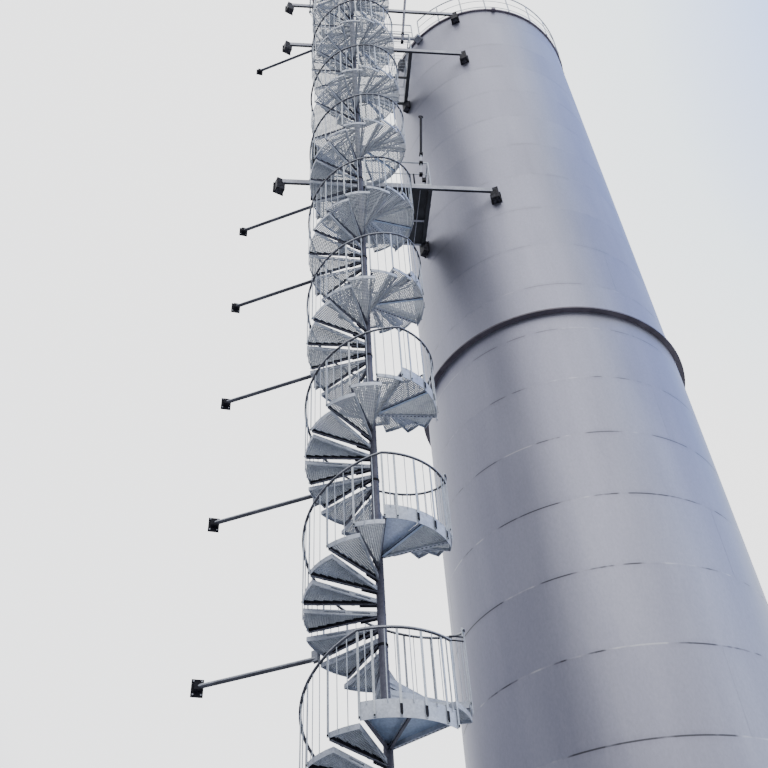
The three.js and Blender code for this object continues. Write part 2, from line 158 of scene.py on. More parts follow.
def add_light(name, place, target, size, power, colour):
    light = bpy.data.lights.new(name, "AREA")
    light.shape = "RECTANGLE"
    light.size, light.size_y = size
    light.energy = power
    light.color = colour
    lamp = bpy.data.objects.new(name, light)
    scene.collection.objects.link(lamp)
    lamp.location = place
    lamp.rotation_mode = "QUATERNION"
    lamp.rotation_quaternion = (Vector(target) - Vector(place)).to_track_quat("-Z", "Y")


add_light("key_light", (-6, -50, 46), (-2, -2, 16), (30, 30), 5000, (1.0, 0.985, 0.96))
add_light("fill_light", (34, -22, 22), (0, 0, 16), (14, 34), 3000, (0.80, 0.88, 1.0))

# Floor plate of the tank: stainless plate that stands a little proud of the shell all round.
# It is mill finished: brushed streaks, large soft patches and a trace of dull dirt.
course_height = 1.5
lowest_seam = 0.5


def stretched(tree, source, scale):
    mapping = node(tree, "ShaderNodeMapping", Scale=scale)
    tree.links.new(source, mapping.inputs["Vector"])
    return mapping.outputs[0]


def noise(tree, place, scale, detail, roughness):
    made = node(tree, "ShaderNodeTexNoise", Scale=scale, Detail=detail, Roughness=roughness)
    tree.links.new(place, made.inputs["Vector"])
    return made.outputs[0]


def ramp(tree, source, low, high, low_at=0.3, high_at=0.7):
    made = node(tree, "ShaderNodeValToRGB")
    for element, tone, place in zip(made.color_ramp.elements, (low, high), (low_at, high_at)):
        element.position = place
        element.color = (*tone, 1)
    tree.links.new(source, made.inputs[0])
    return made.outputs[0]


def grey(value):
    return (value, value, value)


def rough_and_bump(tree, shader, source, low, high, strength, distance):
    tree.links.new(spread(tree, source, 0.0, 1.0, low, high), shader.inputs["Roughness"])
    bump = node(tree, "ShaderNodeBump", Strength=strength, Distance=distance)
    tree.links.new(source, bump.inputs["Height"])
    tree.links.new(bump.outputs[0], shader.inputs["Normal"])


def seam_marks(tree, place, height, course, number, colour):
    """Plates of uneven tone; at each round seam a heat tint and a broken weld, dark in places and
    a painted highlight in others.
    """
    tone = node(tree, "ShaderNodeTexWhiteNoise", noise_dimensions="1D")
    tree.links.new(number, tone.inputs["W"])
    plate_tone = ramp(
        tree, tone.outputs["Value"], (0.965, 0.965, 0.97), (1.02, 1.02, 1.02), 0.0, 1.0
    )
    colour = mixed(tree, "MULTIPLY", 1.0, colour, plate_tone)
    from_seam = maths(tree, "PINGPONG", course, 0.5)
    breaks = noise(tree, place, 1.3, 3.0, 0.55)
    tint = maths(
        tree, "MULTIPLY",
        spread(tree, from_seam, 0.0, 0.075, 0.5, 0.0), spread(tree, breaks, 0.42, 0.66),
    )
    heat_tone = ramp(tree, breaks, (0.80, 0.78, 0.80), (0.72, 0.70, 0.72))
    colour = mixed(tree, "MULTIPLY", tint, colour, heat_tone)
    dark_runs = spread(tree, breaks, 0.50, 0.56, 0.16, 1.0)
    # Where the weld line is light it is a painted highlight along the bead
    highlight_runs = spread(tree, breaks, 0.44, 0.40, 0.16, 0.8)
    shown = maths(tree, "MAXIMUM", dark_runs, highlight_runs)
    fading = maths(tree, "MULTIPLY", spread(tree, height, 11.0, 19.0, 0.9, 0.12), shown)
    line = maths(tree, "MULTIPLY", spread(tree, from_seam, 0.006, 0.012, 1.0, 0.0), fading)
    weld_and_highlight_tone = ramp(tree, breaks, (0.42, 0.42, 0.45), (0.045, 0.045, 0.05), 0.44, 0.52)
    return mixed(tree, "MIX", line, colour, weld_and_highlight_tone)


def shell_steel(name, dark, light, with_seams=False, metallic=0.86):
    """Mill plate, brushed upright, whose patches change from one course to the next."""
    material = bpy.data.materials.new(name)
    material.use_nodes = True
    tree = material.node_tree
    shader = tree.nodes["Principled BSDF"]
    shader.inputs["Metallic"].default_value = metallic
    place = node(tree, "ShaderNodeTexCoord").outputs["Object"]
    parts = node(tree, "ShaderNodeSeparateXYZ")
    tree.links.new(place, parts.inputs[0])
    height = parts.outputs["Z"]
    course = maths(
        tree, "MULTIPLY_ADD", height, 1 / course_height, -lowest_seam / course_height
    )
    number = maths(tree, "FLOOR", course)
    shifted = node(tree, "ShaderNodeVectorMath", operation="MULTIPLY_ADD")
    tree.links.new(number, shifted.inputs[0])
    shifted.inputs[1].default_value = (0.31, 0.17, 0.0)
    tree.links.new(place, shifted.inputs[2])
    streaks = noise(tree, stretched(tree, place, (3.2, 3.2, 0.45)), 1.0, 6.0, 0.6)
    patches = noise(tree, stretched(tree, shifted.outputs[0], (1.0, 1.0, 0.16)), 0.62, 3.0, 0.5)
    grain = noise(tree, stretched(tree, place, (1.0, 1.0, 0.5)), 26.0, 3.0, 0.7)
    base = ramp(tree, streaks, dark, light)
    cloud = ramp(tree, patches, (0.84, 0.84, 0.86), (1.10, 1.10, 1.09), 0.32, 0.68)
    speckle = ramp(tree, grain, grey(0.93), grey(1.05))
    colour = mixed(tree, "MULTIPLY", 1.0, mixed(tree, "MULTIPLY", 1.0, base, cloud), speckle)
    if with_seams:
        colour = seam_marks(tree, place, height, course, number, colour)
    tree.links.new(colour, shader.inputs["Base Color"])
    rough_and_bump(tree, shader, patches, 0.40, 0.56, 0.04, 0.01)
    return material


mill_plate = shell_steel("mill_plate", (0.290, 0.290, 0.335), (0.320, 0.320, 0.365))
floor_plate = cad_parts["floor_plate"]
floor_plate.data.materials.clear()
floor_plate.data.materials.append(mill_plate)

# Shell: rolled stainless plate in courses 1.5 m high, welded edge to edge. Each round weld is a
# flat bead, and the upright welds are staggered from course to course.
shell_plate = shell_steel("shell_plate", (0.250, 0.252, 0.310), (0.272, 0.274, 0.333), True)
wall_radius, wall_inside = 2.964, 2.940
bead_half, bead_proud = 0.006, 0.0008
weld_crease = 4
section_ends = [0.0163, 6.5, 12.5, 18.5, 24.5, 31.5]
round_steps = 144


def spin_round(bm, verts, edges, steps, centre=(0, 0, 0), axis=(0, 0, 1)):
    """A profile turned once round an axis and closed on itself."""
    bmesh.ops.spin(
        bm, geom=verts + edges, cent=centre, axis=axis, dvec=(0, 0, 0),
        angle=math.tau, steps=steps, use_merge=True, use_duplicate=False,
    )


def lathe(bm, outline):
    """A closed ring of this section round the tank's axis."""
    verts = [bm.verts.new((r, 0, z)) for r, z in outline]
    edges = [bm.edges.new(pair) for pair in zip(verts, verts[1:] + verts[:1])]
    spin_round(bm, verts, edges, round_steps)


def set_finish(made, material_index):
    for face in {f for v in made["verts"] for f in v.link_faces}:
        face.material_index = material_index


def box_at(bm, size, matrix, material_index=0):
    place = matrix @ Matrix.Diagonal((*size, 1))
    set_finish(bmesh.ops.create_cube(bm, size=1, matrix=place), material_index)


def shift(x, y, z):
    return Matrix.Translation((x, y, z))


def turned_to(angle, radius, z, centre=(0, 0)):
    """The place at this height whose X points outwards at the angle and radius."""
    turn = Matrix.Rotation(math.radians(angle), 4, "Z")
    return shift(*centre, z) @ turn @ shift(radius, 0, 0)


def finish_piece(name, bm, materials, nodes, crease=32):
    """Makes a piece of the mesh, which rides on the root and stands for its CAD nodes."""
    bmesh.ops.recalc_face_normals(bm, faces=bm.faces)
    mesh = bpy.data.meshes.new(name)
    bm.to_mesh(mesh)
    bm.free()
    for material in materials:
        mesh.materials.append(material)
    mesh.shade_smooth()
    mesh.set_sharp_from_angle(angle=math.radians(crease))
    made = bpy.data.objects.new(name, mesh)
    scene.collection.objects.link(made)
    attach(made, "root")
    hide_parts(*nodes)


stagger = random.Random(7)
for i in range(5):
    low, high = section_ends[i] + (0.0003 if i else 0), section_ends[i + 1]
    outline = [(wall_inside, low), (wall_radius, low)]
    seam = lowest_seam + course_height
    while seam < high - 0.02:
        if seam > low + 0.02:
            outline += [
                (wall_radius, seam - bead_half),
                (wall_radius + bead_proud, seam),
                (wall_radius, seam + bead_half),
            ]
        seam += course_height
    outline += [(wall_radius, high), (wall_inside, high)]
    bm = bmesh.new()
    lathe(bm, outline)
    course_low = low
    while course_low < high - 0.1:
        number = math.floor((course_low + 0.01 - lowest_seam) / course_height) + 1
        course_high = min(lowest_seam + course_height * number, high)
        first_weld = stagger.uniform(0, 120)
        for k in range(3):
            at = turned_to(first_weld + 120 * k, wall_radius, (course_low + course_high) / 2)
            box_at(bm, (0.002, 0.010, course_high - course_low - 0.02), at)
        course_low = course_high
    finish_piece(
        f"shell_plates_{i + 1}", bm, [shell_plate], [f"shell_section_{i + 1}"],
        weld_crease,
    )

# Stiffening ring: a rolled steel angle welded round the shell at half height. It has rusted and
# weathered much darker than the plate.
ring_steel = shell_steel("ring_steel", (0.052, 0.044, 0.056), (0.105, 0.092, 0.112), metallic=0.3)
on_wall = 2.9645
ring_low, ring_reach = 16.0, 3.092
bm = bmesh.new()
lathe(bm, [
    (on_wall, ring_low), (ring_reach, ring_low),
    (ring_reach, ring_low + 0.04), (ring_reach - 0.008, ring_low + 0.04),
    (ring_reach - 0.008, ring_low + 0.012), (on_wall, ring_low + 0.012),
])
finish_piece("ring_angle", bm, [ring_steel], ["stiffening_ring"])

# Top rim: a rolled steel angle that ties the shell's upper edge all round. Two lifting lugs are
# welded to its outer face.
rim_steel = shell_steel("rim_steel", (0.10, 0.085, 0.11), (0.19, 0.17, 0.20))
rim_radius, rim_low, rim_top = 3.018, 31.44, 31.5
bm = bmesh.new()
lathe(bm, [(on_wall, rim_low), (rim_radius, rim_low), (rim_radius, rim_top), (on_wall, rim_top)])
for side in (-89, 91):
    box_at(bm, (0.068, 0.12, 0.14), turned_to(side, 3.044, 31.43))
finish_piece("rim_angle", bm, [rim_steel], ["top_rim"])

# Roof: a low cone of stainless sheets, laid as sectors with lapped radial welds, and a flanged
# cap at the centre.
roof_sectors = 16
roof_slope = math.atan2(0.52, rim_radius)
bm = bmesh.new()
roof_outline = [
    (0.0, 32.0205), (rim_radius, 31.5005), (rim_radius, 31.5125),
    (0.18, 32.0014), (0.18, 32.03), (0.0, 32.03),
]
verts = [bm.verts.new((r, 0, z)) for r, z in roof_outline]
edges = [bm.edges.new(pair) for pair in zip(verts, verts[1:])]
spin_round(bm, verts, edges, round_steps)
bmesh.ops.remove_doubles(bm, verts=bm.verts, dist=1e-5)
for k in range(roof_sectors):
    lap = turned_to(360 / roof_sectors * k + 4, 0, 0) @ shift(1.6, 0, 31.7605)
    box_at(bm, (2.75, 0.03, 0.006), lap @ Matrix.Rotation(roof_slope, 4, "Y"))
finish_piece("roof_sheets", bm, [mill_plate], ["roof_cone"])


# Roof guard rail: galvanised tube on flat posts bolted to the rim, with a knee rail and a toe
# board, open where the top platform meets the roof.
def galvanised(name, dark, light, metallic=0.45, cloud=3.0, shine=0.5):
    """Hot-dip zinc: fine spangle over soft clouds of dull and bright."""
    material = bpy.data.materials.new(name)
    material.use_nodes = True
    tree = material.node_tree
    shader = tree.nodes["Principled BSDF"]
    shader.inputs["Metallic"].default_value = metallic
    shader.inputs["Specular IOR Level"].default_value = shine
    place = node(tree, "ShaderNodeTexCoord").outputs["Object"]
    spangle = node(tree, "ShaderNodeTexVoronoi", Scale=45.0)
    tree.links.new(place, spangle.inputs["Vector"])
    clouds = noise(tree, place, cloud, 5.0, 0.6)
    flakes = ramp(tree, spangle.outputs["Color"], grey(0.88), grey(1.08), 0.2, 0.8)
    base = ramp(tree, clouds, dark, light, 0.35, 0.68)
    tree.links.new(mixed(tree, "MULTIPLY", 1.0, base, flakes), shader.inputs["Base Color"])
    rough_and_bump(tree, shader, clouds, 0.38, 0.58, 0.08, 0.004)
    return material


rail_zinc = galvanised("rail_zinc", (0.30, 0.325, 0.36), (0.46, 0.49, 0.53))
tube_radius = 0.021
outward = Matrix.Rotation(math.pi / 2, 4, "Y")
lying = Matrix.Rotation(math.pi / 2, 4, "X")


def arc_bar(bm, centre, radius, z, section, start, sweep, climb=0.0, steps=24, material_index=0):
    """A bar of round or flat section swept about an upright axis."""
    at = turned_to(start, radius, z, centre)
    if isinstance(section, float):
        made = bmesh.ops.create_circle(
            bm, cap_ends=True, segments=10, radius=section, matrix=at @ lying
        )
        verts = made["verts"]
    else:
        x, y = section[0] / 2, section[1] / 2
        corners = [(-x, -y), (x, -y), (x, y), (-x, y)]
        verts = [bm.verts.new(at @ Vector((x, 0, y))) for x, y in corners]
        bm.faces.new(verts)
    before = set(bm.faces)
    face = verts[0].link_faces[0]
    bmesh.ops.spin(
        bm, geom=[face, *face.edges, *face.verts], cent=(*centre, 0), axis=(0, 0, 1),
        dvec=(0, 0, climb / steps), angle=math.radians(sweep), steps=steps, use_duplicate=False,
    )
    for made_face in set(bm.faces) - before:
        made_face.material_index = material_index


def round_bar(bm, at, radius, depth, sides, material_index=0):
    """A pin, disc or bolt head along the Z of its place."""
    made = bmesh.ops.create_cone(
        bm, cap_ends=True, segments=sides, radius1=radius, radius2=radius, depth=depth, matrix=at
    )
    set_finish(made, material_index)


bm = bmesh.new()
roof_rail_radius, roof_post_gap = 3.030, 15
rail_start, rail_sweep = -138.75, 330.0
for z, section in ((32.6, tube_radius), (32.08, 0.010), (31.60, (0.005, 0.06))):
    arc_bar(bm, (0, 0), roof_rail_radius, z, section, rail_start, rail_sweep, steps=132)
for k in range(23):
    post_angle = rail_start + roof_post_gap * k
    box_at(bm, (0.012, 0.045, 1.15), turned_to(post_angle, 3.034, 32.015))
    for z in (31.455, 31.485):
        round_bar(bm, turned_to(post_angle, 3.044, z) @ outward, 0.01, 0.012, 6)
finish_piece("roof_rail_tubes", bm, [rail_zinc], ["roof_guard_rail"])

# Manway: a round neck with a bolted cover on a hinge arm, near the foot of the shell. All of it
# is stainless, welded and bolted.
cover_bolts, bolt_circle = 20, 0.335
bm = bmesh.new()
manway_at = turned_to(-48, 0, 0.9)
for radius, inner, outer in ((0.300, 2.94, 3.14), (0.370, 3.10, 3.124), (0.366, 3.128, 3.154)):
    body = manway_at @ shift((inner + outer) / 2, 0, 0) @ outward
    round_bar(bm, body, radius, outer - inner, 64)
for k in range(cover_bolts):
    turn = math.tau * k / cover_bolts
    spot = shift(3.128, bolt_circle * math.cos(turn), bolt_circle * math.sin(turn))
    round_bar(bm, manway_at @ spot @ outward, 0.014, 0.07, 6)
box_at(bm, (0.03, 0.05, 0.5), manway_at @ shift(3.14, -0.395, 0.12))
box_at(bm, (0.02, 0.25, 0.03), manway_at @ shift(3.158, -0.26, 0.0))
finish_piece("manway_cover", bm, [mill_plate], ["manway"])

# Outlet: a short stainless pipe neck welded through the shell, with a flat flange of eight
# studs for a pipe to bolt to.
bm = bmesh.new()
outlet_at = turned_to(-12, 0, 0.4)
neck_profile = [
    (0.072, 3.164), (0.142, 3.164), (0.142, 3.136), (0.084, 3.134), (0.084, 2.95), (0.072, 2.95),
]
verts = [bm.verts.new(outlet_at @ Vector((x, r, 0))) for r, x in neck_profile]
edges = [bm.edges.new(pair) for pair in zip(verts, verts[1:] + verts[:1])]
axis = (outlet_at.to_3x3() @ Vector((1, 0, 0))).normalized()
spin_round(bm, verts, edges, 48, outlet_at.translation, axis)
for k in range(8):
    turn = math.radians(45 * k + 22.5)
    spot = shift(3.150, 0.113 * math.cos(turn), 0.113 * math.sin(turn))
    round_bar(bm, outlet_at @ spot @ outward, 0.010, 0.029, 10)
finish_piece("outlet_pipe", bm, [mill_plate], ["outlet_nozzle"])

# Stair column: a round galvanised tube from the ground to hand height over the top landing,
# closed by a domed cap. It has weathered to a dark violet grey.
column_zinc = galvanised(
    "column_zinc", (0.060, 0.060, 0.082), (0.110, 0.110, 0.140), 0.2, shine=0.15
)
stair_at = (-4.775, -4.451)
column_top = 32.35


def straight_bar(bm, start, end, radius, sides=10, material_index=0):
    start, end = Vector(start), Vector(end)
    line = end - start
    turn = line.to_track_quat("Z", "Y").to_matrix().to_4x4()
    at = Matrix.Translation((start + end) / 2) @ turn
    round_bar(bm, at, radius, line.length, sides, material_index)


bm = bmesh.new()
straight_bar(bm, (*stair_at, 0.0), (*stair_at, column_top), 0.0508, 32)
bmesh.ops.create_uvsphere(
    bm, u_segments=32, v_segments=12, radius=0.0507,
    matrix=shift(*stair_at, column_top - 0.005) @ Matrix.Diagonal((1, 1, 0.5, 1)),
)
finish_piece("column_tube", bm, [column_zinc], ["stair_column"])

# Stair flights: treads threaded on the column by their hubs, fifteen rises to a storey. A tread
# is a grating in a welded frame: curved outer band, deep front plate, slotted back plate.
rise, steps_a_storey, storeys = 0.19, 15, 11
step_angle, overlap = 22.5, 4.0
wide_step = 110
landing_sweep = 3 * step_angle
tread_radius, tread_depth = 1.070, 0.070
front_depth, hub_plate_depth = 0.098, 0.13
plate_root, plate_tip = 0.05, 1.062
mesh_inner, mesh_outer = 0.10, 1.06
bar_pitch, rod_pitch, mesh_gauge = 0.030, 0.033, 0.0068
skirt_depth, toe_lip = 0.165, 0.065
landing_posts = (0.0, 9.5, 26.0, 42.3, 58.2)
stair_zinc = galvanised("stair_zinc", (0.29, 0.315, 0.37), (0.45, 0.48, 0.545))
grating_zinc = galvanised("grating_zinc", (0.27, 0.292, 0.332), (0.41, 0.437, 0.482))
panel_zinc = galvanised("panel_zinc", (0.26, 0.33, 0.45), (0.38, 0.46, 0.60), 0.35)
# A paler copy of the panel finish, which paints light on one landing sheet
panel_painted_light = galvanised("panel_painted_light", (0.46, 0.53, 0.68), (0.62, 0.69, 0.84), 0.3)
# The flange finish is a darker copy of the zinc used as painted shade; the dark fitting finish
# serves both dark fittings and painted shade
flange_painted_shade = galvanised(
    "flange_painted_shade", (0.070, 0.072, 0.092), (0.170, 0.174, 0.212), 0.2, 9.0, 0.2
)
dark_fitting_and_painted_shade = galvanised(
    "dark_fitting_and_painted_shade", (0.006, 0.006, 0.009), (0.018, 0.018, 0.024), 0.0, shine=0.05
)
BAND, MESH, PANEL, DARK_AND_PAINTED_SHADE, HUB, FLANGE_SHADE, PANEL_PAINTED_LIGHT = range(7)
flight_finishes = [
    stair_zinc, grating_zinc, panel_zinc, dark_fitting_and_painted_shade, column_zinc, flange_painted_shade, panel_painted_light,
]


def stair_place(angle, radius, z):
    return turned_to(angle, radius, z, stair_at)


def wedge_mesh(bm, start, sweep, z):
    """Bearing bars along the middle line of a wedge, with cross rods through them."""
    half = math.radians(sweep / 2)
    middle = start + sweep / 2
    count = int(mesh_outer * math.sin(half) / bar_pitch)
    for k in range(-count, count + 1):
        aside = k * bar_pitch
        first = max(mesh_inner, abs(aside) / math.tan(half) + 0.012)
        last = math.sqrt(mesh_outer**2 - aside**2) - 0.004
        if last - first < 0.03:
            continue
        at = stair_place(middle, 0, z - 0.0125) @ shift((first + last) / 2, aside, 0)
        box_at(bm, (last - first, mesh_gauge, 0.024), at, MESH)
    along = mesh_inner + 0.04
    while along < mesh_outer - 0.02:
        reach = min(along * math.tan(half), math.sqrt(mesh_outer**2 - along**2) - 0.004)
        size = (mesh_gauge, 2 * reach - 0.02, 0.018)
        box_at(bm, size, stair_place(middle, along, z - 0.011), MESH)
        along += rod_pitch


def radial_plate(bm, angle, ends, thickness, levels, index=BAND, aside=0.0):
    """A plate from the hub outwards, upright or flat, beside the line at this angle."""
    (inner, outer), (low, high) = ends, levels
    at = stair_place(angle, (inner + outer) / 2, (low + high) / 2) @ shift(0, aside, 0)
    box_at(bm, (outer - inner, thickness, high - low), at, index)


def add_tread(bm, start, places, level, lap):
    sweep = places * step_angle + lap
    arc_bar(
        bm, stair_at, tread_radius - 0.004, level - tread_depth / 2, (0.008, tread_depth),
        start, sweep, steps=4 * places, material_index=BAND,
    )
    wedge_mesh(bm, start, sweep, level - 0.002)
    # The front plate is bright outside; its inner face is dark with painted shade, and the flat at
    # its foot is painted shade too
    low, under = level - front_depth, level - tread_depth
    inside = (low + 0.0005, level - 0.0005)
    radial_plate(bm, start, (plate_root, plate_tip), 0.003, (low, level), BAND, 0.0015)
    radial_plate(bm, start, (plate_root, 1.060), 0.003, inside, DARK_AND_PAINTED_SHADE, 0.0045)
    radial_plate(bm, start, (plate_root, 1.058), 0.036, (low, low + 0.006), FLANGE_SHADE, 0.021)
    # The heel plate is bright in front, with a dark plate of painted shade behind it
    for thickness, index, aside in ((0.003, BAND, 0.0015), (0.009, DARK_AND_PAINTED_SHADE, 0.0075)):
        heel = (level - hub_plate_depth, under)
        radial_plate(bm, start, (plate_root, 0.30), thickness, heel, index, aside)
    end = start + sweep
    for foot, head in ((0.0, 0.022), (0.048, 0.070)):
        strip = (under + foot, under + head)
        radial_plate(bm, end, (plate_root, plate_tip), 0.006, strip, BAND, -0.003)
    for ends in ((plate_root, 0.16), (0.40, 0.50), (0.78, plate_tip)):
        radial_plate(bm, end, ends, 0.006, (under + 0.02, level - 0.02), BAND, -0.003)
    radial_plate(bm, end, (plate_root, 0.95), 0.020, (under, under + 0.004), BAND, -0.012)
    # Two clips under the front plate take the same darker finish of painted shade
    for radius in (0.36, 0.84):
        clip = (level - 0.106, level - front_depth)
        radial_plate(bm, start, (radius, radius + 0.05), 0.03, clip, FLANGE_SHADE, 0.02)


def add_landing(bm, start, level, storey, exit_side):
    """Two sheets or gratings on three radial stiffeners, inside a deep curved skirt."""
    top = level + (0.0 if exit_side else toe_lip)
    skirt = (0.006, top - level + skirt_depth)
    arc_bar(
        bm, stair_at, tread_radius - 0.003, (level - skirt_depth + top) / 2, skirt,
        start, landing_sweep, steps=12, material_index=BAND,
    )
    half = landing_sweep / 2
    middle, end = start + half, start + landing_sweep
    for side in range(2):
        first = start + half * side
        # On the third storey the first sheet takes the paler copy, painted light
        if storey <= 2 or (storey == 3 and side == 0):
            arc_bar(
                bm, stair_at, 0.56, level - 0.003, (0.99, 0.005), first + 0.4, half - 0.8,
                steps=8, material_index=PANEL_PAINTED_LIGHT if storey == 3 else PANEL,
            )
        else:
            wedge_mesh(bm, first, half, level - 0.002)
    # The feet of the first stiffener, and of the middle one on the two lowest storeys, are dark
    # with painted shade
    middle_foot_shade = HUB if storey <= 2 else PANEL
    stiffeners = ((start, 0.004, HUB), (middle, 0.0, middle_foot_shade), (end, -0.004, BAND))
    for angle, aside, tone in stiffeners:
        web, foot = (level - 0.075, level - 0.006), (level - 0.081, level - 0.075)
        radial_plate(bm, angle, (plate_root, plate_tip), 0.008, web, BAND, aside)
        radial_plate(bm, angle, (plate_root, 1.060), 0.05, foot, tone, 3 * aside)
    shadow_gap = (level - 0.086, level - 0.080)
    radial_plate(bm, middle, (plate_root, 1.060), 0.012, shadow_gap, DARK_AND_PAINTED_SHADE, -0.022)
    # The slots in the last stiffener are thin dark strips of painted shade
    for k in range(16):
        slot = (0.09 + 0.061 * k, 0.12 + 0.061 * k)
        radial_plate(bm, end, slot, 0.016, (level - 0.083, level - 0.0805), DARK_AND_PAINTED_SHADE, -0.014)
    for offset in landing_posts[1:]:
        bolt = stair_place(start + offset, tread_radius + 0.002, level - 0.12) @ outward
        round_bar(bm, bolt, 0.013, 0.012, 8, DARK_AND_PAINTED_SHADE)


stair_steps = []
angle = -90.0
for count in range(1, storeys * steps_a_storey + 1):
    landing = count % steps_a_storey == 0
    places = 3 if landing else (2 if count == wide_step else 1)
    stair_steps.append((count, landing, angle, places))
    angle += places * step_angle

for storey in range(1, storeys + 1):
    bm = bmesh.new()
    below = (storey - 1) * steps_a_storey
    above = below + steps_a_storey
    hub_low, hub_high = below * rise + 0.001, above * rise - 0.001
    hub_at = shift(*stair_at, (hub_low + hub_high) / 2)
    round_bar(bm, hub_at, 0.0635, hub_high - hub_low, 24, HUB)
    for count, landing, start, places in stair_steps[below:above]:
        level = count * rise
        if landing:
            add_landing(bm, start, level, storey, count >= 150)
        else:
            before_landing = (count + 1) % steps_a_storey == 0
            add_tread(bm, start, places, level, 0.0 if before_landing else overlap)
        round_bar(bm, shift(*stair_at, level - 0.06), 0.0655, 0.012, 20, HUB)
    # A collar on the column at each storey, coloured dark as painted shade below it
    round_bar(bm, shift(*stair_at, below * rise + 1.37), 0.074, 0.035, 24, DARK_AND_PAINTED_SHADE)
    if storey == 1:
        box_at(bm, (0.4, 0.4, 0.02), shift(*stair_at, 0.01))
        for x in (stair_at[0] - 0.15, stair_at[0] + 0.15):
            for y in (stair_at[1] - 0.15, stair_at[1] + 0.15):
                straight_bar(bm, (x, y, 0.02), (x, y, 0.045), 0.016, 6)
    finish_piece(
        f"stair_treads_{storey:02d}", bm, flight_finishes,
        [f"stair_flight_{storey:02d}"],
    )

# Handrails: bent tube on a flat post at every tread, with two thin balusters between posts. The
# feet of the posts are bolted to the treads' outer bands.
rail_tube = galvanised("rail_tube", (0.20, 0.21, 0.24), (0.34, 0.355, 0.395), 0.6)
# The darker finish below is painted shade for the undersides of the tubes
tube_underside_painted_shade = galvanised(
    "tube_underside_painted_shade", (0.030, 0.031, 0.040), (0.075, 0.077, 0.095), 0.3, shine=0.2
)
POST, FITTING, TUBE, PAINTED_SHADE_UNDER = range(4)
rail_finishes = [rail_zinc, dark_fitting_and_painted_shade, rail_tube, tube_underside_painted_shade]
rail_radius, rail_height = 1.0815, 1.0
post_foot, landing_foot, baluster_foot = 0.062, 0.15, 0.05
landing_balusters = (4.7, 17.8, 34.2, 50.3, 63.0)
rail_lengths = [(1, 30), (32, 60), (62, 90), (92, 107), (110, 135), (137, 149), (151, 165)]


def stair_post(bm, angle, low, high):
    flat = stair_place(angle, rail_radius - 0.002, (low + high) / 2)
    box_at(bm, (0.010, 0.030, high - low), flat)
    bolt = stair_place(angle, rail_radius + 0.006, low + 0.02) @ outward
    round_bar(bm, bolt, 0.012, 0.014, 6, FITTING)


def baluster(bm, angle, low, high):
    foot, head = (stair_place(angle, rail_radius, z).translation for z in (low, high))
    straight_bar(bm, foot, head, 0.0065, 6)


def paint_shade_under(bm, top_index, painted_shade_index, edge=-0.3):
    """Painted shade: the faces along the underside of a tube take a darker finish."""
    bmesh.ops.recalc_face_normals(bm, faces=bm.faces)
    bm.normal_update()
    for face in bm.faces:
        if face.material_index == top_index and face.normal.z < edge:
            face.material_index = painted_shade_index


for number, (first, last) in enumerate(rail_lengths, 1):
    bm = bmesh.new()
    for count, landing, start, places in stair_steps[first - 1:last]:
        level = count * rise
        top = level + rail_height
        end = start + places * step_angle
        if landing and count == len(stair_steps):
            stair_post(bm, start, level - post_foot, top)
        elif landing:
            arc_bar(
                bm, stair_at, rail_radius, top, tube_radius, start, landing_sweep,
                steps=18, material_index=TUBE,
            )
            for offset in landing_posts:
                stair_post(bm, start + offset, level - landing_foot, top)
            for offset in landing_balusters:
                baluster(bm, start + offset, level + 0.02, top)
            for offset in landing_posts[2:]:
                foot_flat = stair_place(start + offset, rail_radius + 0.004, level - 0.06)
                box_at(bm, (0.008, 0.034, 0.12), foot_flat, FITTING)
            if count == last:
                stair_post(bm, end, level - landing_foot, top)
        else:
            arc_bar(
                bm, stair_at, rail_radius, top, tube_radius, start, places * step_angle,
                climb=rise, steps=6, material_index=TUBE,
            )
            stair_post(bm, start, level - post_foot, top)
            for offset in (7.5, 15.0):
                climbed = top + rise * offset / step_angle
                baluster(bm, start + offset, level - baluster_foot, climbed)
            if count == last:
                stair_post(bm, end, level - post_foot, top + rise)
    # Two thin bars close the gap on the landing where one rail ends and the next begins
    if landing and count < len(stair_steps):
        lift = rise if count == 30 else 0.0
        for drop in (0.03, 0.09):
            high = level + rail_height - drop
            near = stair_place(end, rail_radius, high + 0.5 * lift).translation
            far = stair_place(end + step_angle, rail_radius, high + 1.5 * lift).translation
            straight_bar(bm, near, far, 0.011, 8, FITTING)
    # The undersides of the tubes are given painted shade
    paint_shade_under(bm, TUBE, PAINTED_SHADE_UNDER)
    finish_piece(f"rail_tubes_{number}", bm, rail_finishes, [f"handrail_{number}"])

# Lower platform: a deck of closed plate on flat joists, in a frame of dark beams with a long
# cross beam in front. Welded brackets of two cheek plates carry it at both ends, and its
# gangway rests on a seat on the wide step.
beam_steel = galvanised("beam_steel", (0.008, 0.009, 0.012), (0.024, 0.026, 0.032), 0.3)
beam_face = galvanised("beam_face", (0.20, 0.205, 0.245), (0.33, 0.34, 0.39), 0.4)
bracket_steel = galvanised(
    "bracket_steel", (0.004, 0.004, 0.006), (0.050, 0.049, 0.060), 0.0, 13.0, 0.05
)
FACE, GRATE, CHEEK = 1, 2, 3
deck_finishes = [beam_steel, beam_face, grating_zinc, bracket_steel]
lower_deck = 20.90
# The far brackets stand on a circle of the wall's radius round this point
far_centre = (-7.82, 0.0)
deck_middle, deck_front, deck_corner = -3.91, -2.874, -2.3
deck_behind = [(-2.8, deck_front), (-2.8, -1.06), (-5.02, -1.06), (-5.02, deck_corner)]
bracket_height, bracket_width, bracket_root = 0.436, 0.21, 2.972
front_bracket, side_bracket = (66.2, 3.164), (21.4, 3.124)
gangway_radius, gangway_face = 1.1165, 1.1565
half_facet = 6.625


